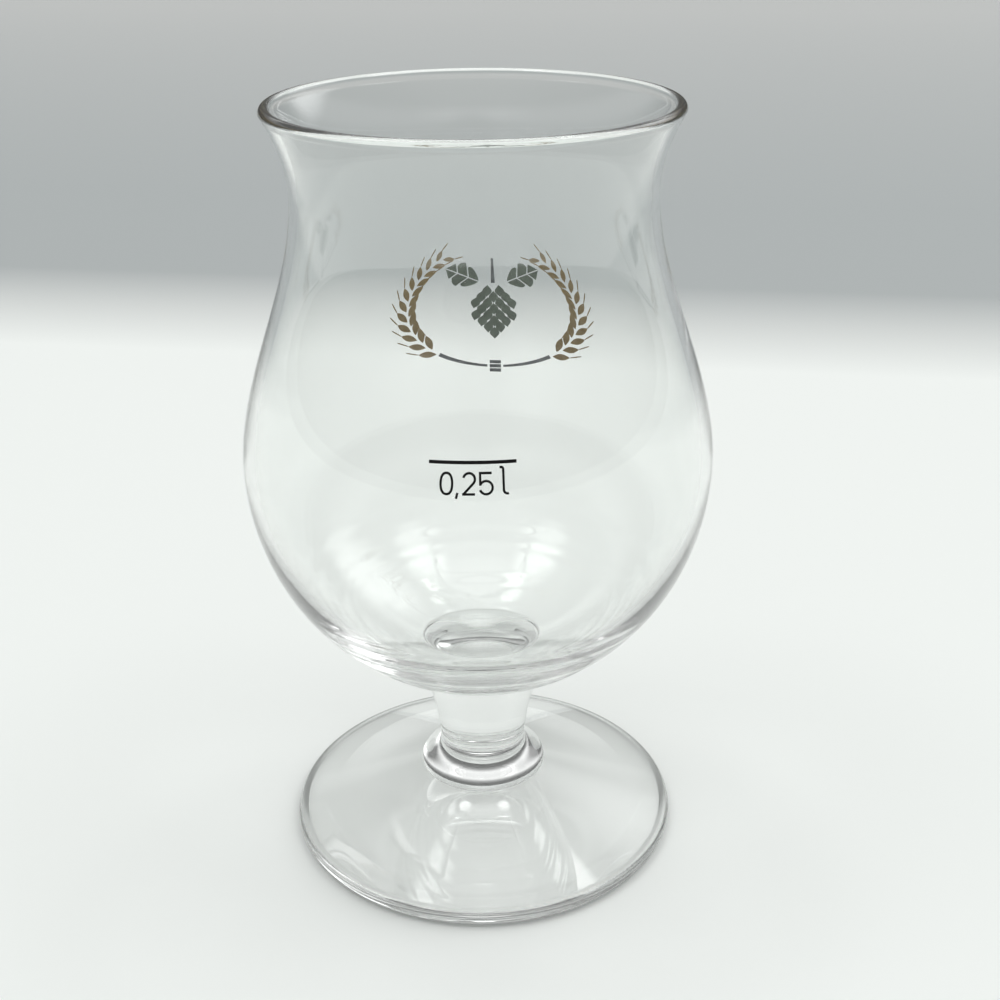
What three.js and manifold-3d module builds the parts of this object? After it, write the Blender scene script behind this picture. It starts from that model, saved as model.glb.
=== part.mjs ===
// Tulip beer glass: a blown bowl, a solid stem, a collar and a pressed foot, fused hot one on another,
// with fired-on enamel marks: a capacity mark on the front and a barley and hop wreath on the back.
// Millimetres, +Z up. The origin is the middle of the face that the foot stands on, and the capacity
// mark faces -Y.
import * as THREE from "three";
import Module from "manifold-3d";

// Height of the whole glass: the neck of the bowl takes what the other heights leave.
const GLASS_HEIGHT = 148.0;

// Foot: a pressed cone with a beaded edge, a ring to stand on and a shallow hollow inside the ring.
const FOOT_RADIUS = 39.5;
const FOOT_HEIGHT = 11.6;
const FOOT_EDGE = 3.0;
const FOOT_EDGE_ROUND = 1.45;
const FOOT_EDGE_SWEEP = 112;
const FOOT_RING_WIDTH = 6.5;
const FOOT_HOLLOW = 2.0;
const FOOT_SLOPE_RUN = 10.0;
const FOOT_SLOPE_RISE = 5.1;

// Collar: the flared gob of glass that joins the stem to the foot, undercut at its seat.
const COLLAR_RADIUS = 12.85;
const COLLAR_HEIGHT = 6.2;
const COLLAR_LIP = 0.7;
const COLLAR_UNDERCUT = 0.55;
const COLLAR_SHOULDER = 2.2;
const COLLAR_FLARE = 2.7;

// Stem: solid, narrowest at the collar.
const STEM_RADIUS = 8.75;
const STEM_TOP_RADIUS = 10.8;
const STEM_LENGTH = 12.4;
const STEM_STRAIGHT = 4.0;

// Bowl, from the stem up: a seat, the round belly, the waist and the flared rim.
const SEAT_RISE = 4.6;
const SEAT_FILLET = 2.6;
const BELLY_RADIUS = 44.5;
const BELLY_RISE = 47.2;
const WAIST_RADIUS = 32.7;
const RIM_RADIUS = 36.9;
const RIM_RISE = 15.0;
const FLARE_POWER = 1.8;
const BELLY_WALL = 2.1;
const WAIST_WALL = 1.65;
const RIM_WALL = 2.2;
const FLOOR_THICKNESS = 4.1;

// Enamel: one thickness for every mark, just clear of the glass.
const ENAMEL_THICKNESS = 0.2;
const ENAMEL_CLEARANCE = 0.1;

// Capacity mark on the front: the line at a quarter of a litre, and the figures under it from left to right.
const FRONT_TURN = -90;
const FILL_LINE_RISE = 15.97;
const FILL_LINE_LENGTH = 14.15;
const FILL_LINE_WIDTH = 0.55;
const FIGURE_DROP = 5.02;
const FIGURE_HEIGHT = 3.36;
const FIGURE_WIDTH = 1.9;
const FIGURE_STROKE = 0.4;
const FIRST_FIGURE = -4.33;
const ZERO_PITCH = 1.57;
const COMMA_PITCH = 2.15;
const FIGURE_PITCH = 2.76;
const LITRE_PITCH = 2.87;
const COMMA_LENGTH = 0.95;
const COMMA_LEAN = 0.24;
const COMMA_RISE = 0.24;
const TWO_HEAD_START = 165;
const TWO_HEAD_END = -43;
const FIVE_SHOULDER = 1.4;
const FIVE_BELLY_START = 152;
const FIVE_BELLY_END = -160;
const LITRE_HEIGHT = 4.2;
const LITRE_HOOK = 0.6;
const LITRE_CURL_END = 290;

// Wreath on the back: two ears of barley round a hop cone with two leaves.
const BACK_TURN = 86;
const WREATH_RISE = 16.4;
const WREATH_HALF_WIDTH = 19.3;
const WREATH_HALF_HEIGHT = 15.0;
const EAR_WIDTH = 4.8;
const EAR_GRAINS = 11;
const EAR_FROM = -50;
const EAR_TO = 64;
const STALK_WIDTH = 0.9;
const STALK_GAP = 0.5;
const TIE_WIDTH = 2.4;
const TIE_HEIGHT = 3.0;
const CONE_LENGTH = 13.5;
const CONE_WIDTH = 9.4;
const CONE_ROWS = 5;
const CONE_DROP = 1.5;
const LEAF_LENGTH = 9.2;
const LEAF_WIDTH = 7.0;
const LEAF_LOBES = 3;
const LEAF_TILT = 24;
const LEAF_GAP = 0.8;
const HOP_STALK_LENGTH = 6.0;

// How far the edge of each plant form is notched, how blunt it starts, and how its swelling is spread.
const EAR_NOTCH = 0.4;
const EAR_BLUNT = 0.45;
const EAR_SWELL = 3;
const EAR_TAPER = 4;
const CONE_NOTCH = 0.16;
const CONE_BLUNT = 0.08;
const CONE_SWELL = 0.75;
const LEAF_NOTCH = 0.28;
const LEAF_SWELL = 0.7;

// Fineness of the round forms and of the curves.
const SEGMENTS = 40;
const CURVE_STEPS = 5;
const NECK_STEPS = 10;
const FLARE_STEPS = 4;
const OVAL_STEPS = 20;
const GRAIN_STEPS = 4;
const ROW_STEPS = 5;
const LOBE_STEPS = 6;
const STROKE_STEP = 1.6;
const LANE_WIDTH = 2.4;
const LEAST_HALF_WIDTH = 0.15;

// Radius of the collar's seat on the foot.
const collarSeat = COLLAR_RADIUS - COLLAR_UNDERCUT;

// Heights of the joints and of the widest, narrowest and highest rings of the bowl.
const collarZ = FOOT_HEIGHT;
const stemZ = collarZ + COLLAR_HEIGHT;
const seatZ = stemZ + STEM_LENGTH;
const bellyZ = seatZ + SEAT_RISE + BELLY_RISE;
const waistZ = GLASS_HEIGHT - RIM_RISE;
const lipZ = GLASS_HEIGHT - RIM_WALL / 2;

const { degToRad, radToDeg, lerp, smoothstep } = THREE.MathUtils;
const quarterTurn = Math.PI / 2;
const wasm = await Module();
wasm.setup();

const clearGlass = new THREE.MeshStandardMaterial({
  color: 0xe4ebe8,
  roughness: 0.03,
  metalness: 0,
  transparent: true,
  opacity: 0.35,
});
const blackEnamel = enamel(0x141414);
const sageEnamel = enamel(0x6f7f6c);
const ochreEnamel = enamel(0xb48f4a);
const slateEnamel = enamel(0x6d737b);

const glass = new THREE.Group();

// A fired enamel is opaque with a soft gloss.
function enamel(color) {
  return new THREE.MeshStandardMaterial({ color, roughness: 0.4, metalness: 0 });
}

function addPiece(name, geometry, material) {
  const mesh = new THREE.Mesh(geometry, material);
  mesh.name = name;
  glass.add(mesh);
}

// A profile of (radius, height) points, turned round the upright axis.
function turned(profile) {
  const points = profile.getPoints(CURVE_STEPS);
  return new THREE.LatheGeometry(points, SEGMENTS).rotateX(quarterTurn);
}

// Foot: the hollow and the ring underneath, round the beaded edge, then up the cone to the collar's seat.
function footProfile() {
  const edgeRadius = FOOT_RADIUS - FOOT_EDGE_ROUND;
  const edgeHalf = FOOT_EDGE / 2;
  const ringInner = edgeRadius - FOOT_RING_WIDTH;
  const slopeRadius = collarSeat + FOOT_SLOPE_RUN;
  const slopeZ = FOOT_EDGE + FOOT_SLOPE_RISE;
  const sweep = degToRad(FOOT_EDGE_SWEEP);
  const profile = new THREE.Path();
  profile.moveTo(0, FOOT_HOLLOW);
  profile.quadraticCurveTo(ringInner / 2, FOOT_HOLLOW, ringInner, 0);
  profile.lineTo(edgeRadius, 0);
  profile.absellipse(edgeRadius, edgeHalf, FOOT_EDGE_ROUND, edgeHalf, -quarterTurn, sweep, false);
  profile.quadraticCurveTo(slopeRadius, slopeZ, collarSeat, FOOT_HEIGHT);
  profile.lineTo(0, FOOT_HEIGHT);
  return profile;
}

// Collar: a round lip out over the foot, then an S from the shoulder up into the stem.
function collarProfile() {
  const lipTop = collarZ + COLLAR_LIP;
  const profile = new THREE.Path();
  profile.moveTo(0, collarZ);
  profile.lineTo(collarSeat, collarZ);
  profile.absellipse(collarSeat, lipTop, COLLAR_UNDERCUT, COLLAR_LIP, -quarterTurn, 0, false);
  profile.bezierCurveTo(
    COLLAR_RADIUS,
    lipTop + COLLAR_SHOULDER,
    STEM_RADIUS,
    stemZ - COLLAR_FLARE,
    STEM_RADIUS,
    stemZ,
  );
  profile.lineTo(0, stemZ);
  return profile;
}

// Stem: straight above the collar, then swelling towards the bowl.
function stemProfile() {
  const profile = new THREE.Path();
  profile.moveTo(0, stemZ);
  profile.lineTo(STEM_RADIUS, stemZ);
  profile.quadraticCurveTo(STEM_RADIUS, stemZ + STEM_STRAIGHT, STEM_TOP_RADIUS, seatZ);
  profile.lineTo(0, seatZ);
  return profile;
}

// Outer radius of the bowl at a height: half an ellipse up to the belly, an S to the waist, then the flare.
function bowlRadius(z) {
  if (z <= bellyZ) {
    const below = Math.min((bellyZ - z) / BELLY_RISE, 1);
    return BELLY_RADIUS * Math.sqrt(1 - below * below);
  }
  if (z <= waistZ) {
    return lerp(BELLY_RADIUS, WAIST_RADIUS, smoothstep(z, bellyZ, waistZ));
  }
  const flare = (z - waistZ) / (lipZ - waistZ);
  return lerp(WAIST_RADIUS, RIM_RADIUS, Math.pow(flare, FLARE_POWER));
}

// Wall of the bowl at a height above the belly.
function bowlWall(z) {
  if (z <= waistZ) {
    return lerp(BELLY_WALL, WAIST_WALL, smoothstep(z, bellyZ, waistZ));
  }
  return lerp(WAIST_WALL, RIM_WALL, (z - waistZ) / (lipZ - waistZ));
}

// Heights from the belly to the lip, in even steps on each side of the waist.
function neckHeights() {
  const heights = [];
  for (let i = 1; i <= NECK_STEPS; i++) {
    heights.push(lerp(bellyZ, waistZ, i / NECK_STEPS));
  }
  for (let i = 1; i <= FLARE_STEPS; i++) {
    heights.push(lerp(waistZ, lipZ, i / FLARE_STEPS));
  }
  return heights;
}

// Bowl: the flat seat on the stem, a fillet into the belly, up the outside, over the lip and down inside.
function bowlProfile() {
  const heights = neckHeights();
  const filletRadius = STEM_TOP_RADIUS + SEAT_FILLET;
  const filletAngle = Math.asin(filletRadius / BELLY_RADIUS);
  const filletZ = bellyZ - BELLY_RISE * Math.cos(filletAngle);
  const filletSlope = (BELLY_RISE / BELLY_RADIUS) * Math.tan(filletAngle);
  const stemSwell = (STEM_TOP_RADIUS - STEM_RADIUS) / (STEM_LENGTH - STEM_STRAIGHT);
  const handle = SEAT_FILLET / 2;
  const lipRound = RIM_WALL / 2;
  const insideRadius = BELLY_RADIUS - BELLY_WALL;
  const insideRise = BELLY_RISE - FLOOR_THICKNESS;
  const profile = new THREE.Path();
  profile.moveTo(0, seatZ);
  profile.lineTo(STEM_TOP_RADIUS, seatZ);
  profile.bezierCurveTo(
    STEM_TOP_RADIUS + handle * stemSwell,
    seatZ + handle,
    filletRadius - handle,
    filletZ - handle * filletSlope,
    filletRadius,
    filletZ,
  );
  profile.absellipse(0, bellyZ, BELLY_RADIUS, BELLY_RISE, filletAngle - quarterTurn, 0, false);
  heights.forEach((z) => profile.lineTo(bowlRadius(z), z));
  profile.absarc(RIM_RADIUS - lipRound, lipZ, lipRound, 0, Math.PI, false);
  heights.reverse().forEach((z) => profile.lineTo(bowlRadius(z) - bowlWall(z), z));
  profile.absellipse(0, bellyZ, insideRadius, insideRise, 0, -quarterTurn, true);
  return profile;
}

// A flat band of enamel along a route: across and up in the plane of the print, thickness towards +Z.
// The outline gives the share of the full width at a share of the route. A closed route joins its ends.
function band(route, width, outline, closed) {
  const count = route.length;
  const columns = Math.ceil(width / LANE_WIDTH);
  const lanes = columns + 1;
  const positions = [];
  const index = [];
  const at = (i, j, face) => ((i % count) * lanes + j) * 2 + face;
  const quad = (a, b, c, d) => index.push(a, b, c, a, c, d);
  for (let i = 0; i < count; i++) {
    const before = closed ? route[(i + count - 1) % count] : route[Math.max(i - 1, 0)];
    const after = closed ? route[(i + 1) % count] : route[Math.min(i + 1, count - 1)];
    const arriving = route[i].clone().sub(before).normalize();
    const leaving = after.clone().sub(route[i]).normalize();
    const along = arriving.clone().add(leaving).normalize();
    const mitre = 1 / Math.max(arriving.dot(along), leaving.dot(along));
    const half = Math.max((width / 2) * outline(i / (count - 1)), LEAST_HALF_WIDTH) * mitre;
    for (let j = 0; j < lanes; j++) {
      const across = lerp(-half, half, j / columns);
      const u = route[i].x - along.y * across;
      const v = route[i].y + along.x * across;
      positions.push(u, v, 0, u, v, ENAMEL_THICKNESS);
    }
  }
  const spans = closed ? count : count - 1;
  for (let i = 0; i < spans; i++) {
    for (let j = 0; j < columns; j++) {
      quad(at(i, j, 1), at(i + 1, j, 1), at(i + 1, j + 1, 1), at(i, j + 1, 1));
      quad(at(i, j, 0), at(i, j + 1, 0), at(i + 1, j + 1, 0), at(i + 1, j, 0));
    }
    quad(at(i, 0, 0), at(i + 1, 0, 0), at(i + 1, 0, 1), at(i, 0, 1));
    quad(at(i, columns, 0), at(i, columns, 1), at(i + 1, columns, 1), at(i + 1, columns, 0));
  }
  if (!closed) {
    const last = count - 1;
    for (let j = 0; j < columns; j++) {
      quad(at(0, j, 0), at(0, j, 1), at(0, j + 1, 1), at(0, j + 1, 0));
      quad(at(last, j, 0), at(last, j + 1, 0), at(last, j + 1, 1), at(last, j, 1));
    }
  }
  const geometry = new THREE.BufferGeometry();
  geometry.setAttribute("position", new THREE.Float32BufferAttribute(positions, 3));
  geometry.setIndex(index);
  return geometry;
}

// Two bands that cross, joined into one body.
function joined(first, second) {
  const [a, b] = [first, second].map((geometry) => {
    const vertProperties = new Float32Array(geometry.getAttribute("position").array);
    const triVerts = new Uint32Array(geometry.index.array);
    return new wasm.Manifold(new wasm.Mesh({ numProp: 3, vertProperties, triVerts }));
  });
  const mesh = a.add(b).getMesh();
  const geometry = new THREE.BufferGeometry();
  geometry.setAttribute("position", new THREE.Float32BufferAttribute(mesh.vertProperties, 3));
  geometry.setIndex(new THREE.BufferAttribute(mesh.triVerts, 1));
  return geometry;
}

// A flat print bent round the bowl: across becomes an angle from the turn, up a height over the belly.
function wrapped(geometry, turn, rise) {
  const position = geometry.getAttribute("position");
  const printRadius = bowlRadius(bellyZ + rise);
  for (let i = 0; i < position.count; i++) {
    const angle = degToRad(turn) + position.getX(i) / printRadius;
    const z = bellyZ + rise + position.getY(i);
    const radius = bowlRadius(z) + ENAMEL_CLEARANCE + position.getZ(i);
    position.setXYZ(i, radius * Math.cos(angle), radius * Math.sin(angle), z);
  }
  geometry.computeVertexNormals();
  return geometry;
}

// Points of a path with no step longer than the stroke step.
function routed(path) {
  const corners = path.getPoints(CURVE_STEPS);
  const points = [corners[0]];
  for (let i = 1; i < corners.length; i++) {
    const steps = Math.ceil(corners[i].distanceTo(corners[i - 1]) / STROKE_STEP);
    for (let k = 1; k <= steps; k++) {
      points.push(corners[i - 1].clone().lerp(corners[i], k / steps));
    }
  }
  return points;
}

// A stroke of even width along a path.
function stroke(path, width) {
  return band(routed(path), width, evenly, false);
}

function evenly() {
  return 1;
}

function line(...points) {
  const path = new THREE.Path();
  path.setFromPoints(points.map(([x, y]) => new THREE.Vector2(x, y)));
  return path;
}

function arc(x, y, radius, from, to) {
  const path = new THREE.Path();
  path.absarc(x, y, radius, degToRad(from), degToRad(to), to < from);
  return path;
}

// Figure 0: an upright oval loop of even stroke.
function figureZero() {
  const oval = new THREE.EllipseCurve(0, FIGURE_HEIGHT / 2, FIGURE_WIDTH / 2, FIGURE_HEIGHT / 2);
  const route = oval.getPoints(OVAL_STEPS).slice(0, -1);
  return band(route, FIGURE_STROKE, evenly, true);
}

// Figure 2: a round head running into a slant, and the foot bar.
function figureTwo() {
  const round = FIGURE_WIDTH / 2;
  const head = arc(0, FIGURE_HEIGHT - round, round, TWO_HEAD_START, TWO_HEAD_END);
  head.lineTo(-round, 0);
  const bar = line([-round - FIGURE_STROKE / 2, 0], [round, 0]);
  return joined(stroke(head, FIGURE_STROKE), stroke(bar, FIGURE_STROKE));
}

// Figure 5: the flag and its upright down to the shoulder, and the round belly.
function figureFive() {
  const round = FIGURE_WIDTH / 2 + FIGURE_STROKE / 4;
  const side = FIGURE_WIDTH / 2;
  const flag = line([side, FIGURE_HEIGHT], [-side, FIGURE_HEIGHT], [-side, FIVE_SHOULDER]);
  const belly = arc(0, round, round, FIVE_BELLY_START, FIVE_BELLY_END);
  return joined(stroke(flag, FIGURE_STROKE), stroke(belly, FIGURE_STROKE));
}

// The comma: a short slanting stroke through the base line.
function comma() {
  return stroke(line([COMMA_LEAN, COMMA_RISE], [0, COMMA_RISE - COMMA_LENGTH]), FIGURE_STROKE);
}

// The litre sign: an upright with a hook at its head and a curl at its foot.
function litreSign() {
  const corner = LITRE_HOOK / 2;
  const path = line([-LITRE_HOOK, LITRE_HEIGHT], [-corner, LITRE_HEIGHT]);
  path.absarc(-corner, LITRE_HEIGHT - corner, corner, quarterTurn, 0, true);
  path.lineTo(0, LITRE_HOOK);
  path.absarc(LITRE_HOOK, LITRE_HOOK, LITRE_HOOK, Math.PI, degToRad(LITRE_CURL_END), false);
  return stroke(path, FIGURE_STROKE);
}

// A stretch of the wreath's oval, between two angles from its right-hand side.
function wreathRoute(from, to, steps) {
  const oval = new THREE.EllipseCurve(
    0,
    0,
    WREATH_HALF_WIDTH,
    WREATH_HALF_HEIGHT,
    degToRad(from),
    degToRad(to),
  );
  return oval.getPoints(steps);
}

function straightRoute(from, to, steps) {
  return new THREE.LineCurve(from, to).getPoints(steps);
}

// The same route on the other side of the wreath, with left and right changed over.
function mirrored(route) {
  return route.map((point) => new THREE.Vector2(-point.x, point.y));
}

// Waves along an edge: full width between the notches, one notch at the end of each of the copies.
function notched(share, copies, notch) {
  return 1 - notch + notch * Math.abs(Math.sin(Math.PI * copies * share));
}

// An ear of barley: rows of grains swell and taper along the oval to a pointed beard.
function earOutline(share) {
  const swell = Math.min(1, EAR_BLUNT + EAR_SWELL * share);
  const taper = 1 - Math.pow(share, EAR_TAPER);
  return swell * taper * notched(share, EAR_GRAINS, EAR_NOTCH);
}

// A hop cone: rows of bracts from a blunt head to a pointed tip.
function coneOutline(share) {
  const swell = Math.sin(Math.PI * Math.pow(lerp(CONE_BLUNT, 1, share), CONE_SWELL));
  return swell * notched(share, CONE_ROWS, CONE_NOTCH);
}

// A hop leaf: a pointed blade with lobes along its edge.
function leafOutline(share) {
  const blade = Math.sin(Math.PI * Math.pow(share, LEAF_SWELL));
  const lobesStart = 1 / (2 * LEAF_LOBES);
  return blade * notched(share + lobesStart, LEAF_LOBES, LEAF_NOTCH);
}

addPiece("foot", turned(footProfile()), clearGlass);
addPiece("foot_collar", turned(collarProfile()), clearGlass);
addPiece("stem", turned(stemProfile()), clearGlass);
addPiece("bowl", turned(bowlProfile()), clearGlass);

// Front: the line, and the figures standing on one base line at their pitches from left to right.
const baseRise = FILL_LINE_RISE - FIGURE_DROP;
const fillLine = stroke(line([-FILL_LINE_LENGTH / 2, 0], [FILL_LINE_LENGTH / 2, 0]), FILL_LINE_WIDTH);
addPiece("fill_line", wrapped(fillLine, FRONT_TURN, FILL_LINE_RISE), blackEnamel);
const figures = [
  ["figure_zero", figureZero(), ZERO_PITCH],
  ["decimal_comma", comma(), COMMA_PITCH],
  ["figure_two", figureTwo(), FIGURE_PITCH],
  ["figure_five", figureFive(), LITRE_PITCH],
  ["litre_sign", litreSign(), 0],
];
let place = FIRST_FIGURE;
for (const [name, geometry, pitch] of figures) {
  geometry.translate(place, 0, 0);
  addPiece(name, wrapped(geometry, FRONT_TURN, baseRise), blackEnamel);
  place += pitch;
}

// Back: the wreath's two sides, its tie, and the hop cone with its leaves inside.
const wreathFoot = -90;
const stalkStart = wreathFoot + radToDeg((TIE_WIDTH / 2 + STALK_GAP) / WREATH_HALF_WIDTH);
const stalkEnd = EAR_FROM - radToDeg(STALK_GAP / WREATH_HALF_HEIGHT);
const ear = wreathRoute(EAR_FROM, EAR_TO, GRAIN_STEPS * EAR_GRAINS);
const stalk = wreathRoute(stalkStart, stalkEnd, CURVE_STEPS);
const tieFoot = -WREATH_HALF_HEIGHT - TIE_HEIGHT / 2;
const tie = routed(line([0, tieFoot], [0, tieFoot + TIE_HEIGHT]));
const coneTop = CONE_LENGTH / 2 - CONE_DROP;
const coneHead = new THREE.Vector2(0, coneTop);
const coneTip = new THREE.Vector2(0, coneTop - CONE_LENGTH);
const cone = straightRoute(coneHead, coneTip, ROW_STEPS * CONE_ROWS);
const hopStalkFoot = coneTop + STALK_GAP;
const hopStalk = routed(line([0, hopStalkFoot], [0, hopStalkFoot + HOP_STALK_LENGTH]));
const leafFoot = new THREE.Vector2(CONE_WIDTH / 4 + LEAF_GAP, coneTop + LEAF_GAP);
const leafEnd = leafFoot.clone().add(new THREE.Vector2(LEAF_LENGTH, 0));
leafEnd.rotateAround(leafFoot, degToRad(LEAF_TILT));
const leaf = straightRoute(leafFoot, leafEnd, LOBE_STEPS * LEAF_LOBES);
const wreath = [
  ["barley_ear_right", band(ear, EAR_WIDTH, earOutline, false), ochreEnamel],
  ["barley_ear_left", band(mirrored(ear), EAR_WIDTH, earOutline, false), ochreEnamel],
  ["barley_stalk_right", band(stalk, STALK_WIDTH, evenly, false), slateEnamel],
  ["barley_stalk_left", band(mirrored(stalk), STALK_WIDTH, evenly, false), slateEnamel],
  ["wreath_tie", band(tie, TIE_WIDTH, evenly, false), slateEnamel],
  ["hop_cone", band(cone, CONE_WIDTH, coneOutline, false), sageEnamel],
  ["hop_leaf_right", band(leaf, LEAF_WIDTH, leafOutline, false), sageEnamel],
  ["hop_leaf_left", band(mirrored(leaf), LEAF_WIDTH, leafOutline, false), sageEnamel],
  ["hop_stalk", band(hopStalk, STALK_WIDTH, evenly, false), slateEnamel],
];
for (const [name, geometry, material] of wreath) {
  addPiece(name, wrapped(geometry, BACK_TURN, WREATH_RISE), material);
}

export default glass;
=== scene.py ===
import math

import bpy
import numpy as np
from mathutils import Matrix, Vector


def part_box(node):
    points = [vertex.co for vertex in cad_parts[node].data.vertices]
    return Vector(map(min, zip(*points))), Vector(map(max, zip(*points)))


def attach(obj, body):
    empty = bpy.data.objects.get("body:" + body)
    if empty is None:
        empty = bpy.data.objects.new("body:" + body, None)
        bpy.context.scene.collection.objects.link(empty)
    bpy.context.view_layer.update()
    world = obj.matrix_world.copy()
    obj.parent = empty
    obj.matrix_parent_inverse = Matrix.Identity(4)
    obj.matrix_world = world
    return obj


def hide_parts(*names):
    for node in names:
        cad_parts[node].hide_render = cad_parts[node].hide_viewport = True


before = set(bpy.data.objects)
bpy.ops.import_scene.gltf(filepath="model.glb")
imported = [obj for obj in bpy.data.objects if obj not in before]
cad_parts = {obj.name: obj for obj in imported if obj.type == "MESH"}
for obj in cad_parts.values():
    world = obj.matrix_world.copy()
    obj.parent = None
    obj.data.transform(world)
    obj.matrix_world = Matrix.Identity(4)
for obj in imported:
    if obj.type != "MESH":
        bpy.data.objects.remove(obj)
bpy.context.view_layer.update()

# Foot: a thick cone of clear glass with a beaded edge, standing on a ring round a shallow hollow.
# It is pressed hot in a mould and fused to the collar above it, so no seam shows between them.
mm = 0.001
foot_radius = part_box("foot")[1][0]
foot_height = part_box("foot")[1][2]
collar_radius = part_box("foot_collar")[1][0]
collar_undercut = 0.55 * mm
collar_seat = collar_radius - collar_undercut
foot_edge = 3.0 * mm
foot_edge_round = 1.45 * mm
foot_edge_sweep = 112
foot_ring_width = 6.5 * mm
foot_hollow = 2.0 * mm
foot_slope_run = 10.0 * mm
foot_slope_rise = 5.1 * mm
turn_steps = 240
curve_steps = 64
glass_crease = math.radians(35)
glass_loss_per_metre = 3.0
body_passes = 0.99
edge_passes = 0.5


def straight(start, end, steps=1):
    """Straight stretch: from start to end in even steps."""
    return np.linspace(start, end, steps + 1)


def curve(controls, steps):
    """Bezier stretch: the mean of the control points, each weighted by its Bernstein polynomial."""
    share = np.linspace(0, 1, steps + 1)[:, None]
    degree = len(controls) - 1
    weights = [math.comb(degree, i) * share**i * (1 - share) ** (degree - i) for i in range(degree + 1)]
    return sum(weight * np.array(point) for weight, point in zip(weights, controls))


def oval(centre, radii, start, end, steps):
    """Stretch of an ellipse: the centre plus the radii times the cosine and sine of an angle in degrees."""
    angle = np.radians(np.linspace(start, end, steps + 1))
    return np.array(centre) + np.array(radii) * np.stack([np.cos(angle), np.sin(angle)], -1)


def chained(*stretches):
    """One outline from stretches that start where the last one ended."""
    return np.concatenate([stretches[0]] + [stretch[1:] for stretch in stretches[1:]])


def at_joints(outline, heights):
    """Marks with 1 the steps of an outline that lie flat at a height where two pieces are fused."""
    ends = np.stack([outline[:-1, 1], outline[1:, 1]])
    return sum(np.all(np.isclose(ends, height, atol=0.0001 * mm), 0).astype(np.int32) for height in heights)


def turned(name, outline, finishes):
    """Surface of revolution: each (radius, height) of an outline that starts and ends on the Z axis is
    carried round the axis, and its two ends close in poles. Each step of the outline has the number of
    its material."""
    rings = outline[1:-1]
    angle = np.linspace(0, 2 * np.pi, turn_steps, endpoint=False)
    around = np.stack([np.cos(angle), np.sin(angle), np.zeros(turn_steps)], -1)
    upright = rings[:, None, 1:] * np.array([0, 0, 1])
    points = (rings[:, None, :1] * around + upright).reshape(-1, 3)
    poles = [[0, 0, outline[0, 1]], [0, 0, outline[-1, 1]]]
    here = np.arange(turn_steps)
    following = (here + 1) % turn_steps
    row = np.arange(len(rings) - 1)[:, None] * turn_steps
    quads = np.stack([row + here, row + following, row + turn_steps + following, row + turn_steps + here], -1)
    last = (len(rings) - 1) * turn_steps
    pole = np.full(turn_steps, len(points))
    lower_fan = np.stack([pole, following, here], -1)
    upper_fan = np.stack([pole + 1, last + here, last + following], -1)
    mesh = bpy.data.meshes.new(name)
    faces = lower_fan.tolist() + quads.reshape(-1, 4).tolist() + upper_fan.tolist()
    mesh.from_pydata(np.concatenate([points, poles]).tolist(), [], faces)
    mesh.polygons.foreach_set("material_index", np.repeat(finishes, turn_steps))
    mesh.polygons.foreach_set("use_smooth", np.ones(len(mesh.polygons), bool))
    mesh.set_sharp_from_angle(angle=glass_crease)
    mesh.update()
    piece = bpy.data.objects.new(name, mesh)
    bpy.context.scene.collection.objects.link(piece)
    return piece


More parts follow.
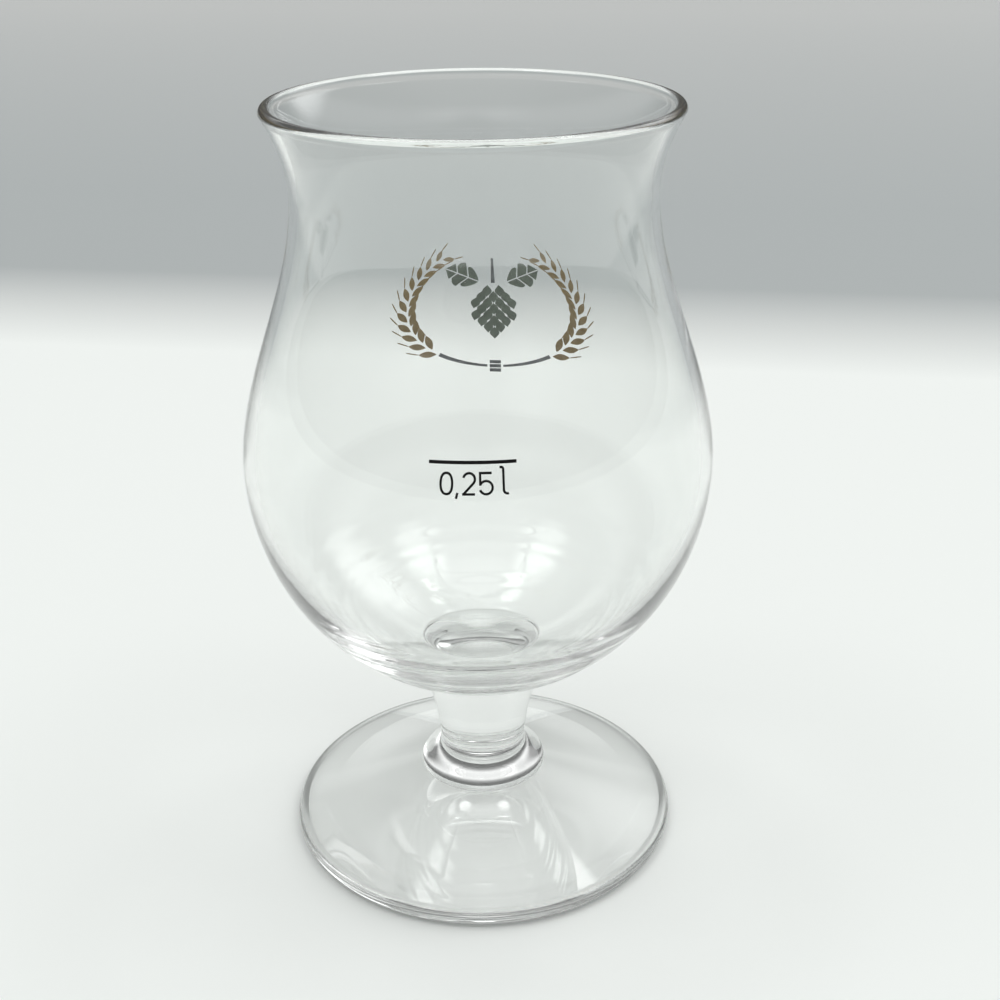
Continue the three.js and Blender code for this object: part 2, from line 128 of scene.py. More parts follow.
def clear_glass(name, passes):
    """Fire-polished clear glass with a faint green tint and the slow ripple of a blown surface. Light that
    the eye follows is lost in step with its way inside the glass. Light that falls on the table goes straight
    on: it passes by this share where it meets the surface squarely, and by less the more it slants."""
    material = bpy.data.materials.new(name)
    material.use_nodes = True
    nodes = material.node_tree.nodes
    link = material.node_tree.links.new
    glass = nodes["Principled BSDF"]
    glass.inputs["Base Color"].default_value = (0.985, 0.995, 0.988, 1)
    glass.inputs["Roughness"].default_value = 0.0
    glass.inputs["IOR"].default_value = 1.5
    glass.inputs["Transmission Weight"].default_value = 1.0
    place = nodes.new("ShaderNodeTexCoord")
    ripple = nodes.new("ShaderNodeTexNoise")
    ripple.inputs["Scale"].default_value = 55
    ripple.inputs["Detail"].default_value = 1
    link(place.outputs["Object"], ripple.inputs["Vector"])
    bump = nodes.new("ShaderNodeBump")
    bump.inputs["Strength"].default_value = 0.02
    bump.inputs["Distance"].default_value = 0.3 * mm
    link(ripple.outputs["Fac"], bump.inputs["Height"])
    link(bump.outputs["Normal"], glass.inputs["Normal"])

    path = nodes.new("ShaderNodeLightPath")
    side = nodes.new("ShaderNodeNewGeometry")
    way_inside = nodes.new("ShaderNodeMath")
    way_inside.operation = "MULTIPLY"
    link(path.outputs["Ray Length"], way_inside.inputs[0])
    link(side.outputs["Backfacing"], way_inside.inputs[1])
    lost = nodes.new("ShaderNodeMath")
    lost.operation = "MULTIPLY"
    lost.use_clamp = True
    lost.inputs[1].default_value = glass_loss_per_metre
    link(way_inside.outputs["Value"], lost.inputs[0])
    dimmed = nodes.new("ShaderNodeMixShader")
    link(lost.outputs["Value"], dimmed.inputs["Fac"])
    link(glass.outputs["BSDF"], dimmed.inputs[1])

    straight_on = nodes.new("ShaderNodeBsdfTransparent")
    slant = nodes.new("ShaderNodeLayerWeight")
    slant.inputs["Blend"].default_value = 0.5
    weaken = nodes.new("ShaderNodeValToRGB")
    weaken.color_ramp.elements[0].position = 0.45
    weaken.color_ramp.elements[0].color = (passes, passes, passes, 1)
    weaken.color_ramp.elements[1].position = 1.0
    weaken.color_ramp.elements[1].color = (0.1, 0.11, 0.1, 1)
    link(slant.outputs["Facing"], weaken.inputs["Fac"])
    link(weaken.outputs["Color"], straight_on.inputs["Color"])

    surface = dimmed
    for kind in ("Is Shadow Ray", "Is Diffuse Ray"):
        chosen = nodes.new("ShaderNodeMixShader")
        link(path.outputs[kind], chosen.inputs["Fac"])
        link(surface.outputs["Shader"], chosen.inputs[1])
        link(straight_on.outputs["BSDF"], chosen.inputs[2])
        surface = chosen
    link(surface.outputs["Shader"], nodes["Material Output"].inputs["Surface"])
    return material


def fused_joint():
    """The plane where two pieces of hot glass have become one: nothing of it shows."""
    material = bpy.data.materials.new("fused_joint")
    material.use_nodes = True
    nodes = material.node_tree.nodes
    nodes.remove(nodes["Principled BSDF"])
    through = nodes.new("ShaderNodeBsdfTransparent")
    material.node_tree.links.new(through.outputs["BSDF"], nodes["Material Output"].inputs["Surface"])
    return material


glass_materials = [
    clear_glass("clear_glass", body_passes),
    fused_joint(),
    clear_glass("edge_glass", edge_passes),
]
edge_number = 2


def add_glass(piece, node):
    """Gives a turned piece the glass of the whole body, in the place of its CAD node."""
    for material in glass_materials:
        piece.data.materials.append(material)
    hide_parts(node)
    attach(piece, "root")


edge_radius = foot_radius - foot_edge_round
ring_inner = edge_radius - foot_ring_width
edge_bead = oval((edge_radius, foot_edge / 2), (foot_edge_round, foot_edge / 2), -90, foot_edge_sweep, 48)
foot_outline = chained(
    curve([(0, foot_hollow), (ring_inner / 2, foot_hollow), (ring_inner, 0)], 48),
    straight((ring_inner, 0), (edge_radius, 0), 4),
    edge_bead,
    curve(
        [
            edge_bead[-1],
            (collar_seat + foot_slope_run, foot_edge + foot_slope_rise),
            (collar_seat, foot_height),
        ],
        curve_steps,
    ),
    straight((collar_seat, foot_height), (0, foot_height)),
)
in_bead = np.minimum(foot_outline[:-1, 0], foot_outline[1:, 0]) >= edge_radius
foot_finishes = at_joints(foot_outline, [foot_height]) + edge_number * in_bead.astype(np.int32)
add_glass(turned("foot_glass", foot_outline, foot_finishes), "foot")

# Collar: the gob of clear glass that joins the stem to the foot, flared by the tool and left with a round
# lip that overhangs its seat. It is gathered hot and fused to both.
stem_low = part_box("stem")[0][2]
stem_radius = 8.75 * mm
collar_lip = 0.7 * mm
collar_shoulder = 2.2 * mm
collar_flare = 2.7 * mm
lip_top = foot_height + collar_lip
collar_outline = chained(
    straight((0, foot_height), (collar_seat, foot_height)),
    oval((collar_seat, lip_top), (collar_undercut, collar_lip), -90, 0, 24),
    curve(
        [
            (collar_radius, lip_top),
            (collar_radius, lip_top + collar_shoulder),
            (stem_radius, stem_low - collar_flare),
            (stem_radius, stem_low),
        ],
        curve_steps,
    ),
    straight((stem_radius, stem_low), (0, stem_low)),
)
collar_finishes = at_joints(collar_outline, [foot_height, stem_low])
add_glass(turned("collar_glass", collar_outline, collar_finishes), "foot_collar")

# Stem: a short solid pillar of clear glass, drawn out narrowest at the collar and swelling to the bowl.
# It is fused to the collar below and to the seat of the bowl above.
stem_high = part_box("stem")[1][2]
stem_top_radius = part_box("stem")[1][0]
stem_straight = 4.0 * mm
stem_outline = chained(
    straight((0, stem_low), (stem_radius, stem_low)),
    curve(
        [(stem_radius, stem_low), (stem_radius, stem_low + stem_straight), (stem_top_radius, stem_high)],
        curve_steps,
    ),
    straight((stem_top_radius, stem_high), (0, stem_high)),
)
add_glass(turned("stem_glass", stem_outline, at_joints(stem_outline, [stem_low, stem_high])), "stem")

# Bowl: a tulip of clear glass blown in a mould, with a round belly, a narrow waist and a flared rim that
# is cut and fire-polished to a bead. Its thick base is fused to the stem.
glass_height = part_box("bowl")[1][2]
belly_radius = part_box("bowl")[1][0]
seat_rise = 4.6 * mm
seat_fillet = 2.6 * mm
belly_rise = 47.2 * mm
waist_radius = 32.7 * mm
rim_radius = 36.9 * mm
rim_rise = 15.0 * mm
flare_power = 1.8
belly_wall = 2.1 * mm
waist_wall = 1.65 * mm
rim_wall = 2.2 * mm
floor_thickness = 4.1 * mm
belly_height = stem_high + seat_rise + belly_rise
waist_height = glass_height - rim_rise
lip_height = glass_height - rim_wall / 2
ring_depth = 0.06 * mm
ring_count = 11
ring_start = 0.3
ring_reach = 0.48
ring_fade = 1.5
finer_rings = 1.63
finer_share = 0.6
neck_steps = 48
flare_steps = 16
inner_steps = 168


def neck_share(z):
    """How far a height has come from the belly to the waist, eased at both ends: three squares less two
    cubes of the plain share."""
    share = np.clip((z - belly_height) / (waist_height - belly_height), 0, 1)
    return share**2 * (3 - 2 * share)


def flare_share(z):
    """How far a height has come from the waist to the lip."""
    return np.clip((z - waist_height) / (lip_height - waist_height), 0, 1)


def bowl_radius(z):
    """Outer radius at a height: half an ellipse up to the belly, an eased S to the waist, then a flare
    that grows as a power of the height over the waist."""
    below = np.clip((belly_height - z) / belly_rise, 0, 1)
    narrowing = (waist_radius - belly_radius) * neck_share(z)
    flare = (rim_radius - waist_radius) * flare_share(z) ** flare_power
    return belly_radius * np.sqrt(1 - below**2) + narrowing + flare


def bowl_wall(z):
    """Thickness of the wall over the belly: it thins to the waist and thickens again to the rim."""
    return belly_wall + (waist_wall - belly_wall) * neck_share(z) + (rim_wall - waist_wall) * flare_share(z)


def ringed(stretch):
    """The inside of the lower bowl with the rings left by blowing: a sine wave across the wall with a finer
    one on it, as deep as a power of a half sine over the reach between the belly and the base."""
    down = np.linspace(0, 1, len(stretch))
    depth = ring_depth * np.sin(np.pi * np.clip((down - ring_start) / ring_reach, 0, 1)) ** ring_fade
    phase = 2 * np.pi * ring_count * down
    waves = np.sin(phase) + finer_share * np.sin(finer_rings * phase + 1)
    along = np.gradient(stretch, axis=0)
    along /= np.linalg.norm(along, axis=1, keepdims=True)
    return stretch + (depth * waves)[:, None] * np.stack([-along[:, 1], along[:, 0]], -1)


fillet_radius = stem_top_radius + seat_fillet
fillet_angle = math.asin(fillet_radius / belly_radius)
fillet_height = belly_height - belly_rise * math.cos(fillet_angle)
fillet_slope = belly_rise / belly_radius * math.tan(fillet_angle)
stem_swell = (stem_top_radius - stem_radius) / (stem_high - stem_low - stem_straight)
fillet_handle = seat_fillet / 2
upper_heights = np.concatenate([
    np.linspace(belly_height, waist_height, neck_steps + 1),
    np.linspace(waist_height, lip_height, flare_steps + 1)[1:],
])
inner_radii = (belly_radius - belly_wall, belly_rise - floor_thickness)
bowl_outline = chained(
    straight((0, stem_high), (stem_top_radius, stem_high)),
    curve(
        [
            (stem_top_radius, stem_high),
            (stem_top_radius + fillet_handle * stem_swell, stem_high + fillet_handle),
            (fillet_radius - fillet_handle, fillet_height - fillet_handle * fillet_slope),
            (fillet_radius, fillet_height),
        ],
        24,
    ),
    oval((0, belly_height), (belly_radius, belly_rise), math.degrees(fillet_angle) - 90, 0, curve_steps),
    np.stack([bowl_radius(upper_heights), upper_heights], -1),
    oval((rim_radius - rim_wall / 2, lip_height), (rim_wall / 2, rim_wall / 2), 0, 180, 24),
    np.stack([bowl_radius(upper_heights) - bowl_wall(upper_heights), upper_heights], -1)[::-1],
    ringed(oval((0, belly_height), inner_radii, 0, -90, inner_steps)),
)
add_glass(turned("bowl_glass", bowl_outline, at_joints(bowl_outline, [stem_high])), "bowl")

# Capacity mark: the line at a quarter of a litre and its figures, in black enamel. Each is screen-printed
# on the outside of the bowl as a thin film and fired until it melts onto the glass.
film_thickness = 0.06 * mm
film_sink = 0.03 * mm
film_crease = math.radians(40)
front_turn = -90
fill_line_rise = 15.97 * mm
fill_line_height = belly_height + fill_line_rise
fill_line_length = 14.15 * mm
fill_line_width = 0.55 * mm
figure_drop = 5.02 * mm
figure_base = fill_line_height - figure_drop
figure_height = 3.36 * mm
figure_width = 1.9 * mm
figure_stroke = 0.4 * mm
zero_pitch = 1.57 * mm
comma_pitch = 2.15 * mm
figure_pitch = 2.76 * mm
litre_pitch = 2.87 * mm
zero_place = -4.33 * mm
comma_place = zero_place + zero_pitch
two_place = comma_place + comma_pitch
five_place = two_place + figure_pitch
litre_place = five_place + litre_pitch
zero_squareness = 0.86
comma_length = 0.95 * mm
comma_lean = 0.24 * mm
comma_rise = 0.24 * mm
two_head_start, two_head_end = 165, -43
five_shoulder = 1.4 * mm
five_belly_start, five_belly_end = 152, -160
litre_height = 4.2 * mm
litre_hook = 0.6 * mm
litre_curl_end = 290


def stroked(route, width):
    """The two edges of a stroke: the route moved half the width to its right and to its left."""
    along = np.gradient(route, axis=0)
    along /= np.linalg.norm(along, axis=1, keepdims=True)
    aside = np.stack([-along[:, 1], along[:, 0]], -1) * np.reshape(width, (-1, 1)) / 2
    return route - aside, route + aside


def squared_oval(centre, radii, power, steps):
    """A closed oval with flatter sides: the cosine and sine of the angle are raised to a power below 1."""
    round_trip = oval((0, 0), (1, 1), 0, 360, steps)
    return np.array(centre) + np.array(radii) * np.sign(round_trip) * np.abs(round_trip) ** power


def film(name, strips, turn, height):
    """Films of enamel bent round the bowl: each strip is a domed section carried between its right and
    left edges. Across the print is an angle from the turn, up is a height, and out is the bowl's radius."""
    across = np.array([-1, -0.85, -0.4, 0.4, 0.85, 1, 1, -1])
    out = np.array([0.35, 0.8, 1, 1, 0.8, 0.35, 0, 0]) * (film_thickness + film_sink) - film_sink
    size = len(across)
    points, faces = [], []
    start = 0
    for right, left in strips:
        middle, half = (right + left) / 2, (left - right) / 2
        flat = middle[:, None] + across[:, None] * half[:, None]
        z = height + flat[..., 1]
        angle = math.radians(turn) + flat[..., 0] / bowl_radius(height)
        radius = bowl_radius(z) + out
        points.append(np.stack([radius * np.cos(angle), radius * np.sin(angle), z], -1).reshape(-1, 3))
        here = np.arange(size)
        following = (here + 1) % size
        row = start + np.arange(len(flat) - 1)[:, None] * size
        quads = np.stack([row + here, row + size + here, row + size + following, row + following], -1)
        end = start + (len(flat) - 1) * size
        faces += quads.reshape(-1, 4).tolist() + [(start + here).tolist(), (end + here[::-1]).tolist()]
        start = end + size
    mesh = bpy.data.meshes.new(name)
    mesh.from_pydata(np.concatenate(points).tolist(), [], faces)
    mesh.polygons.foreach_set("use_smooth", np.ones(len(mesh.polygons), bool))
    mesh.set_sharp_from_angle(angle=film_crease)
    mesh.update()
    piece = bpy.data.objects.new(name, mesh)
    bpy.context.scene.collection.objects.link(piece)
    return piece


def enamel(name, colour, paler):
    """Fired enamel: its colour drifts a little towards a paler one where the print is thin, and the gloss
    is broken by the fine grain of the screen."""
    material = bpy.data.materials.new(f"fired_{name}")
    material.use_nodes = True
    nodes = material.node_tree.nodes
    link = material.node_tree.links.new
    fired = nodes["Principled BSDF"]
    fired.inputs["Specular IOR Level"].default_value = 0.25
    place = nodes.new("ShaderNodeTexCoord")
    patches = nodes.new("ShaderNodeTexNoise")
    patches.inputs["Scale"].default_value = 700
    patches.inputs["Detail"].default_value = 3
    link(place.outputs["Object"], patches.inputs["Vector"])
    tint = nodes.new("ShaderNodeValToRGB")
    tint.color_ramp.elements[0].position = 0.35
    tint.color_ramp.elements[0].color = (*colour, 1)
    tint.color_ramp.elements[1].position = 0.75
    tint.color_ramp.elements[1].color = (*paler, 1)
    link(patches.outputs["Fac"], tint.inputs["Fac"])
    link(tint.outputs["Color"], fired.inputs["Base Color"])
    gloss = nodes.new("ShaderNodeMapRange")
    gloss.inputs["To Min"].default_value = 0.28
    gloss.inputs["To Max"].default_value = 0.5
    link(patches.outputs["Fac"], gloss.inputs["Value"])
    link(gloss.outputs["Result"], fired.inputs["Roughness"])
    grain = nodes.new("ShaderNodeTexNoise")
    grain.inputs["Scale"].default_value = 6000
    link(place.outputs["Object"], grain.inputs["Vector"])
    bump = nodes.new("ShaderNodeBump")
    bump.inputs["Strength"].default_value = 0.25
    bump.inputs["Distance"].default_value = 0.02 * mm
    link(grain.outputs["Fac"], bump.inputs["Height"])
    link(bump.outputs["Normal"], fired.inputs["Normal"])
    return material


def add_enamel(piece, material, node):
    """Puts a printed film on the bowl in the place of its CAD node."""
    piece.data.materials.append(material)
    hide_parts(node)
    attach(piece, "root")


black_enamel = enamel("black_enamel", (0.001, 0.001, 0.001), (0.004, 0.004, 0.004))
half_line = fill_line_length / 2
fill_line = stroked(straight((-half_line, 0), (half_line, 0), 24), fill_line_width)
add_enamel(film("fill_line_print", [fill_line], front_turn, fill_line_height), black_enamel, "fill_line")

half_width = figure_width / 2
zero = squared_oval((0, figure_height / 2), (half_width, figure_height / 2), zero_squareness, 48)
comma = straight((comma_lean, comma_rise), (0, comma_rise - comma_length), 6)
two_head = oval((0, figure_height - half_width), (half_width, half_width), two_head_start, two_head_end, 32)
two = chained(two_head, straight(two_head[-1], (-half_width, 0), 10))
two_bar = straight((-half_width - figure_stroke / 2, 0), (half_width, 0), 6)
five_round = half_width + figure_stroke / 4
five_flag = straight((half_width, figure_height), (-half_width - figure_stroke / 2, figure_height), 6)
five_upright = straight((-half_width, figure_height), (-half_width, five_shoulder), 6)
five_belly = oval((0, five_round), (five_round, five_round), five_belly_start, five_belly_end, 40)
litre_corner = litre_hook / 2
litre = chained(
    straight((-litre_hook, litre_height), (-litre_corner, litre_height), 3),
    oval((-litre_corner, litre_height - litre_corner), (litre_corner, litre_corner), 90, 0, 8),
    straight((0, litre_height - litre_corner), (0, litre_hook), 10),
    oval((litre_hook, litre_hook), (litre_hook, litre_hook), 180, litre_curl_end, 12),
)
figures = [
    ("zero_print", "figure_zero", zero_place, [zero]),
    ("comma_print", "decimal_comma", comma_place, [comma]),
    ("two_print", "figure_two", two_place, [two, two_bar]),
    ("five_print", "figure_five", five_place, [five_flag, five_upright, five_belly]),
    ("litre_print", "litre_sign", litre_place, [litre]),
]
for name, node, place, routes in figures:
    strips = [stroked(route + (place, 0), figure_stroke) for route in routes]
    add_enamel(film(name, strips, front_turn, figure_base), black_enamel, node)

# Barley: two ears on curved stalks, printed on the back of the bowl in ochre and slate enamel, and the
# slate band that ties the stalks together at the foot of the wreath.
back_turn = 86
wreath_rise = 16.4 * mm
wreath_height = belly_height + wreath_rise
wreath_half_width = 19.3 * mm
wreath_half_height = 15.0 * mm
stalk_start, stalk_end = -84.96, -51.9
ear_start, ear_end = -50, 64
ear_fill = 0.9
ear_taper = 0.3
grain_count = 11
grain_length = 3.9 * mm
grain_width = 1.5 * mm
grain_lean = math.radians(30)
grain_offset = 0.25 * mm
grain_fullness = 0.9
awn_length = 3.0 * mm
awn_width = 0.24 * mm
awn_lean = math.radians(16)
awn_fullness = 0.3
blade_tip = 0.04 * mm
blade_points = 17
stalk_width = 0.9 * mm
stalk_taper = 0.6
stalk_gap = 0.5 * mm
stalk_steps = 20
tie_width = 2.4 * mm
tie_band = 0.8 * mm
tie_pitch = 1.0 * mm
ochre_enamel = enamel("ochre_enamel", (0.25, 0.17, 0.06), (0.31, 0.22, 0.09))
slate_enamel = enamel("slate_enamel", (0.13, 0.14, 0.15), (0.17, 0.18, 0.19))


def wreath_stretch(start, end, steps):
    """Stretch of the wreath's oval between two angles from its right-hand side."""
    return oval((0, 0), (wreath_half_width, wreath_half_height), start, end, steps)


def heading(direction):
    """The flat step of length one in a direction."""
    return np.array([math.cos(direction), math.sin(direction)])


def blade(foot, direction, length, width, fullness):
    """A pointed blade: from its foot along a direction, as wide as a sine raised to a power."""
    share = np.linspace(0, 1, blade_points)
    route = np.array(foot) + share[:, None] * length * heading(direction)
    return stroked(route, width * np.sin(np.pi * share) ** fullness + blade_tip)


def barley_ear():
    """Grains in two leaning rows along the oval, set in turn on either side, each with a thin awn past its
    tip. They grow smaller towards the top."""
    strips = []
    for number in range(2 * grain_count):
        share = number / (2 * grain_count - 1)
        side = (-1, 1)[number % 2]
        angle = ear_start + (ear_end - ear_start) * ear_fill * share
        before, after = wreath_stretch(angle, angle + 1, 1)
        along = math.atan2(*(after - before)[::-1])
        scale = 1 - ear_taper * share**2
        foot = before + side * grain_offset * heading(along + math.pi / 2)
        lean = along + side * grain_lean
        strips.append(blade(foot, lean, grain_length * scale, grain_width * scale, grain_fullness))
        tip = foot + grain_length * scale * heading(lean)
        strips.append(blade(tip, along + side * awn_lean, awn_length * scale, awn_width, awn_fullness))
    return strips


def mirrored(strips):
    """The same strips with left and right changed over, so that each left edge becomes a right one."""
    return [(left * (-1, 1), right * (-1, 1)) for right, left in strips]


def add_print(name, strips, material, node):
    """Prints strips of enamel at the wreath's place on the back of the bowl."""
    add_enamel(film(name, strips, back_turn, wreath_height), material, node)


ear = barley_ear()
stalk_route = wreath_stretch(stalk_start, stalk_end, stalk_steps)
stalk = [stroked(stalk_route, np.linspace(stalk_taper, 1, stalk_steps + 1) * stalk_width)]
for side, ear_strips, stalk_strips in (("right", ear, stalk), ("left", mirrored(ear), mirrored(stalk))):
    add_print(f"ear_{side}_print", ear_strips, ochre_enamel, f"barley_ear_{side}")
    add_print(f"stalk_{side}_print", stalk_strips, slate_enamel, f"barley_stalk_{side}")

half_tie = tie_width / 2
tie_heights = [-wreath_half_height + turn * tie_pitch for turn in (-1, 0, 1)]
tie_turns = [stroked(straight((-half_tie, up), (half_tie, up), 8), tie_band) for up in tie_heights]
add_print("tie_print", tie_turns, slate_enamel, "wreath_tie")

# Hop: a cone of overlapping bracts on a stalk between two lobed leaves, printed inside the wreath in
# sage enamel with a slate stalk.
cone_length = 13.5 * mm
cone_width = 9.4 * mm
cone_drop = 1.5 * mm
cone_top = cone_length / 2 - cone_drop
cone_taper = 0.12
bract_counts = (2, 3, 4, 3, 4, 3, 2, 1)
bract_pitch = 2.5 * mm
bract_width = 0.82 * bract_pitch
bract_splay = math.radians(40)
bract_fullness = 1.3
leaf_gap = 0.8 * mm
leaf_foot = np.array([cone_width / 4 + leaf_gap, cone_top + leaf_gap])
leaf_lean = math.radians(24)
leaf_length = 8.6 * mm
leaf_half_width = 3.0 * mm
leaf_lobes = ((0.02, 0.30), (0.335, 0.62), (0.655, 0.99))
leaf_swell = 0.62
lobe_notch = 0.3
midrib = 0.13 * mm
lobe_least = 0.05 * mm
vein_lean = 0.55
hop_stalk_length = 6.0 * mm
hop_stalk_steps = 8
sage_enamel = enamel("sage_enamel", (0.125, 0.155, 0.12), (0.16, 0.195, 0.155))


def hop_cone():
    """Pointed bracts in rows like roof tiles, each row set between those of the last, and narrower towards
    the head and the tip. Thin bare gaps part them."""
    strips = []
    bract_length = 2 * cone_length / (len(bract_counts) + 1)
    for row, count in enumerate(bract_counts):
        head = cone_top - row * bract_length / 2
        for number in range(count):
            across = (number - (count - 1) / 2) * bract_pitch
            lean = across / cone_width * bract_splay
            foot = (across * (1 - cone_taper * row / len(bract_counts)), head)
            strips.append(blade(foot, lean - math.pi / 2, bract_length, bract_width, bract_fullness))
    return strips


def hop_leaf():
    """Two halves either side of a bare midrib, cut by bare side veins that lean forwards into three lobes.
    The half width is a sine of the way along, less a notch at the end of each lobe."""
    lengthways = heading(leaf_lean)
    aside = heading(leaf_lean + math.pi / 2)
    strips = []
    for start, end in leaf_lobes:
        share = np.linspace(start, end, blade_points)
        within = (share - start) / (end - start)
        reach = leaf_half_width * np.sin(np.pi * share**leaf_swell) * (1 - lobe_notch * within**3)
        outer = np.maximum(reach, midrib + lobe_least)[:, None]
        rib = leaf_foot + share[:, None] * leaf_length * lengthways
        for side in (1, -1):
            inner_edge = rib + midrib * side * aside
            outer_edge = rib + outer * (side * aside + vein_lean * lengthways)
            strips.append((inner_edge, outer_edge)[::side])
    return strips


add_print("hop_cone_print", hop_cone(), sage_enamel, "hop_cone")
leaf = hop_leaf()
add_print("leaf_right_print", leaf, sage_enamel, "hop_leaf_right")
add_print("leaf_left_print", mirrored(leaf), sage_enamel, "hop_leaf_left")
hop_stalk_foot = cone_top + stalk_gap
hop_stalk_route = straight((0, hop_stalk_foot), (0, hop_stalk_foot + hop_stalk_length), hop_stalk_steps)
hop_stalk_widths = np.linspace(1, stalk_taper, hop_stalk_steps + 1) * stalk_width
hop_stalk = stroked(hop_stalk_route, hop_stalk_widths)
add_print("hop_stalk_print", [hop_stalk], slate_enamel, "hop_stalk")

# Table and backdrop: a white table whose far edge lies out of focus at a slight angle, and the grey floor
# of the room beyond it. Both are one sheet that fills the picture behind the glass.
table_height = -0.2 * mm
table_reach = 6.0
table_turn = math.radians(7.6)
white = (0.86, 0.885, 0.865)
edge_grey = (0.64, 0.66, 0.65)
grey = (0.41, 0.435, 0.438)
pale_grey = (0.51, 0.52, 0.515)
table_tones = [(0.28, white), (0.335, edge_grey), (0.39, grey), (0.55, grey), (1.5, pale_grey)]


def graded(ramp, tones):
    """Sets a colour ramp to pairs of a place and a colour."""
    elements = ramp.color_ramp.elements
    while len(elements) < len(tones):
        elements.new(0.5)
    for element, (place, colour) in zip(elements, tones):
        element.position = place
        element.color = (*colour, 1)


def table_material():
    """White in front and grey behind: the tone follows the distance along the table's own turned depth."""
    material = bpy.data.materials.new("table")
    material.use_nodes = True
    nodes = material.node_tree.nodes
    link = material.node_tree.links.new
    place = nodes.new("ShaderNodeTexCoord")
    depth = nodes.new("ShaderNodeVectorMath")
    depth.operation = "DOT_PRODUCT"
    depth.inputs[1].default_value = (math.sin(table_turn), math.cos(table_turn), 0)
    link(place.outputs["Object"], depth.inputs[0])
    near, far = table_tones[0][0], table_tones[-1][0]
    reach = nodes.new("ShaderNodeMapRange")
    reach.inputs["From Min"].default_value = near
    reach.inputs["From Max"].default_value = far
    link(depth.outputs["Value"], reach.inputs["Value"])
    tone = nodes.new("ShaderNodeValToRGB")
    graded(tone, [((distance - near) / (far - near), colour) for distance, colour in table_tones])
    link(reach.outputs["Result"], tone.inputs["Fac"])
    surface = nodes["Principled BSDF"]
    link(tone.outputs["Color"], surface.inputs["Base Color"])
    surface.inputs["Roughness"].default_value = 0.7
    surface.inputs["Specular IOR Level"].default_value = 0.2
    return material


table_sides = ((-1, -1), (1, -1), (1, 1), (-1, 1))
table_corners = [(x * table_reach, y * table_reach, table_height) for x, y in table_sides]
table_mesh = bpy.data.meshes.new("table")
table_mesh.from_pydata(table_corners, [], [(0, 1, 2, 3)])
table_mesh.materials.append(table_material())
table = bpy.data.objects.new("table", table_mesh)
bpy.context.scene.collection.objects.link(table)

# Light: a room with the bands of its walls and ceiling, soft patches of light overhead and behind, the glow
# of a window to the right and a dark patch behind the camera. The glass shows it in its reflections, and
# what is seen straight, or through the glass, is a pale backdrop that stands on the table.
backdrop_bands = [(0.0, 0.8), (0.12, 0.6), (0.4, 0.5)]
front_bands = [
    (0.0, 0.12), (0.22, 0.18), (0.3, 0.45), (0.35, 1.1), (0.4, 0.9), (0.46, 0.25), (0.66, 0.3), (0.75, 0.5),
]
side_bands = [(0.0, 0.12), (0.2, 0.14), (0.26, 0.5), (0.4, 0.55), (0.46, 0.12), (0.62, 0.2), (0.75, 0.5)]
side_start, side_full = 0.3, 0.65
# Each patch of light: its axis, the angle to which it is full, the angle at which it ends, and its level.
ceiling = ((0.0, 0.1, 1.0), 8, 32, 1.6)
window = ((0.66, 0.52, 0.54), 9, 24, 2.6)
back_lamp = ((0.0, 0.68, 0.73), 3, 9, 3.5)
left_lamp = ((-0.5, -0.08, 0.87), 5, 16, 4.0)
right_lamp = ((0.5, -0.08, 0.87), 5, 16, 4.0)
left_spot = ((-0.25, 0.2, 0.95), 2, 7, 7.0)
right_spot = ((0.34, 0.31, 0.89), 1, 4.5, 7.0)
dark_patch = ((0.05, -1.0, 0.04), 8, 25, 0.1)
half_a_reflection = 0.5
room = bpy.data.worlds.new("room")
bpy.context.scene.world = room
room.use_nodes = True
nodes = room.node_tree.nodes
link = room.node_tree.links.new
direction = nodes.new("ShaderNodeTexCoord")
apart = nodes.new("ShaderNodeSeparateXYZ")
link(direction.outputs["Generated"], apart.inputs["Vector"])


def room_grey(level):
    """A grey of the room, a little green, at a level of light."""
    return (0.992 * level, level, 0.994 * level)


def bands(levels):
    """Greys of the room by height: each pair gives the sine of an elevation and the level there."""
    rise = nodes.new("ShaderNodeValToRGB")
    graded(rise, [(at, room_grey(level)) for at, level in levels])
    link(apart.outputs["Z"], rise.inputs["Fac"])
    return rise.outputs["Color"]


def mixed(factor, first):
    """Mixes a second colour over the first: gives the mix, whose second colour is still to be set."""
    mix = nodes.new("ShaderNodeMix")
    mix.data_type = "RGBA"
    link(factor, mix.inputs["Factor"])
    link(first, mix.inputs["A"])
    return mix


def glow(seen, axis, inner, outer, level):
    """A round patch of light about an axis: full inside one angle and gone, by a smooth step, at another."""
    nearness = nodes.new("ShaderNodeVectorMath")
    nearness.operation = "DOT_PRODUCT"
    nearness.inputs[1].default_value = Vector(axis).normalized()
    link(direction.outputs["Generated"], nearness.inputs[0])
    fade = nodes.new("ShaderNodeMapRange")
    fade.interpolation_type = "SMOOTHSTEP"
    fade.inputs["From Min"].default_value = math.cos(math.radians(outer))
    fade.inputs["From Max"].default_value = math.cos(math.radians(inner))
    link(nearness.outputs["Value"], fade.inputs["Value"])
    mix = mixed(fade.outputs["Result"], seen)
    mix.inputs["B"].default_value = (*room_grey(level), 1)
    return mix.outputs["Result"]


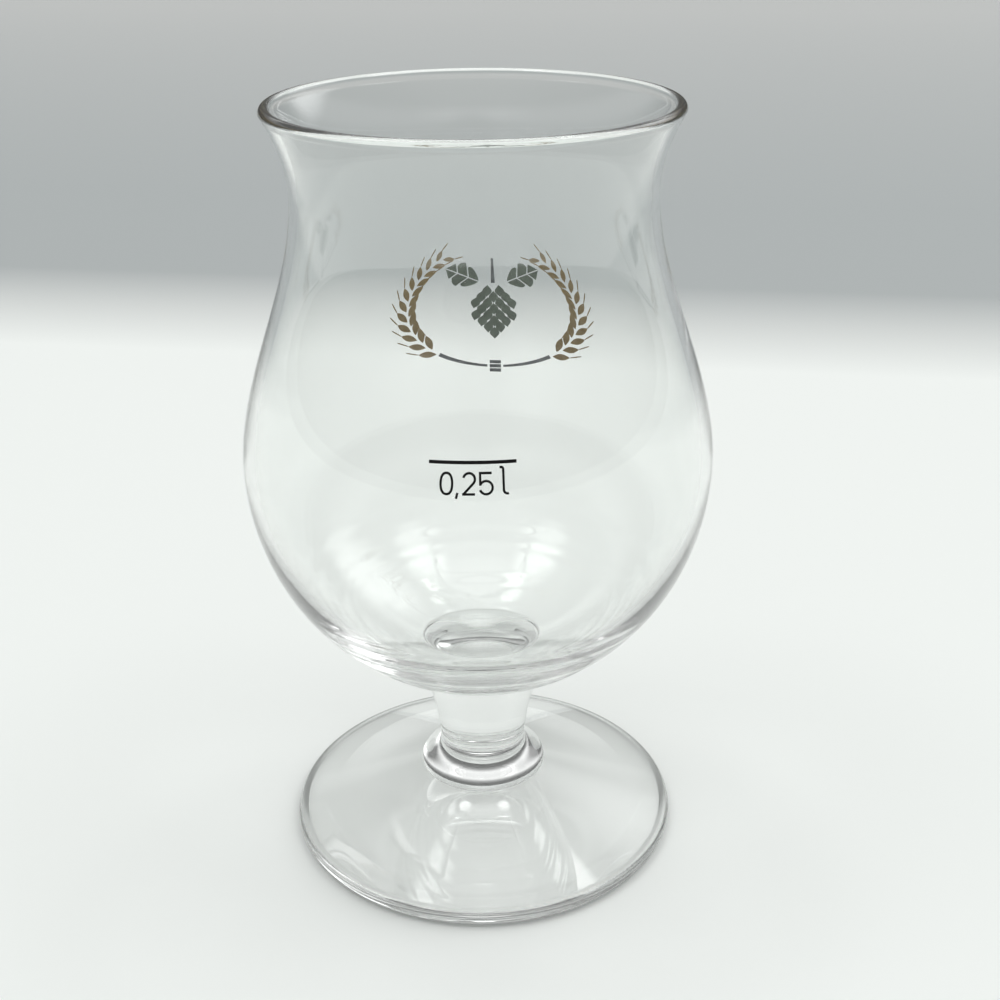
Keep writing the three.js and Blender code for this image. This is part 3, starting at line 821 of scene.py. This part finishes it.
aside = nodes.new("ShaderNodeMath")
aside.operation = "ABSOLUTE"
link(apart.outputs["X"], aside.inputs[0])
sideways = nodes.new("ShaderNodeMapRange")
sideways.inputs["From Min"].default_value = side_start
sideways.inputs["From Max"].default_value = side_full
link(aside.outputs["Value"], sideways.inputs["Value"])
around = mixed(sideways.outputs["Result"], bands(front_bands))
link(bands(side_bands), around.inputs["B"])
seen = around.outputs["Result"]
for axis, inner, outer, level in (
    ceiling, window, back_lamp, left_lamp, right_lamp, left_spot, right_spot, dark_patch,
):
    seen = glow(seen, axis, inner, outer, level)

path = nodes.new("ShaderNodeLightPath")
unreflected = nodes.new("ShaderNodeMath")
unreflected.operation = "LESS_THAN"
unreflected.inputs[1].default_value = half_a_reflection
link(path.outputs["Glossy Depth"], unreflected.inputs[0])
through_glass = nodes.new("ShaderNodeMath")
through_glass.operation = "MULTIPLY"
link(path.outputs["Is Transmission Ray"], through_glass.inputs[0])
link(unreflected.outputs["Value"], through_glass.inputs[1])
straight_on = nodes.new("ShaderNodeMath")
straight_on.operation = "MAXIMUM"
link(path.outputs["Is Camera Ray"], straight_on.inputs[0])
link(through_glass.outputs["Value"], straight_on.inputs[1])
backdrop = mixed(straight_on.outputs["Value"], seen)
link(bands(backdrop_bands), backdrop.inputs["B"])
link(backdrop.outputs["Result"], nodes["Background"].inputs["Color"])

# Camera: the photograph's place, turn and lens. Light can go round inside the glass many times before it
# leaves, so it may meet many surfaces.
camera_place = (0.00583, -0.25113, 0.18956)
yaw, pitch, roll = math.radians(-0.409), math.radians(25.138), math.radians(-0.514)
glass_meetings = 128
camera = bpy.data.cameras.new("camera")
camera.sensor_width = 36
camera.lens = 51.24
viewer = bpy.data.objects.new("camera", camera)
level_aim = Matrix.Rotation(-yaw, 4, "Z") @ Matrix.Rotation(math.pi / 2 - pitch, 4, "X")
viewer.matrix_world = Matrix.Translation(camera_place) @ level_aim @ Matrix.Rotation(roll, 4, "Z")
bpy.context.scene.collection.objects.link(viewer)
bpy.context.scene.camera = viewer
bpy.context.scene.view_settings.view_transform = "Standard"
bpy.context.scene.cycles.max_bounces = glass_meetings
bpy.context.scene.cycles.transmission_bounces = glass_meetings
bpy.context.scene.cycles.glossy_bounces = glass_meetings
bpy.context.scene.cycles.transparent_max_bounces = glass_meetings // 2
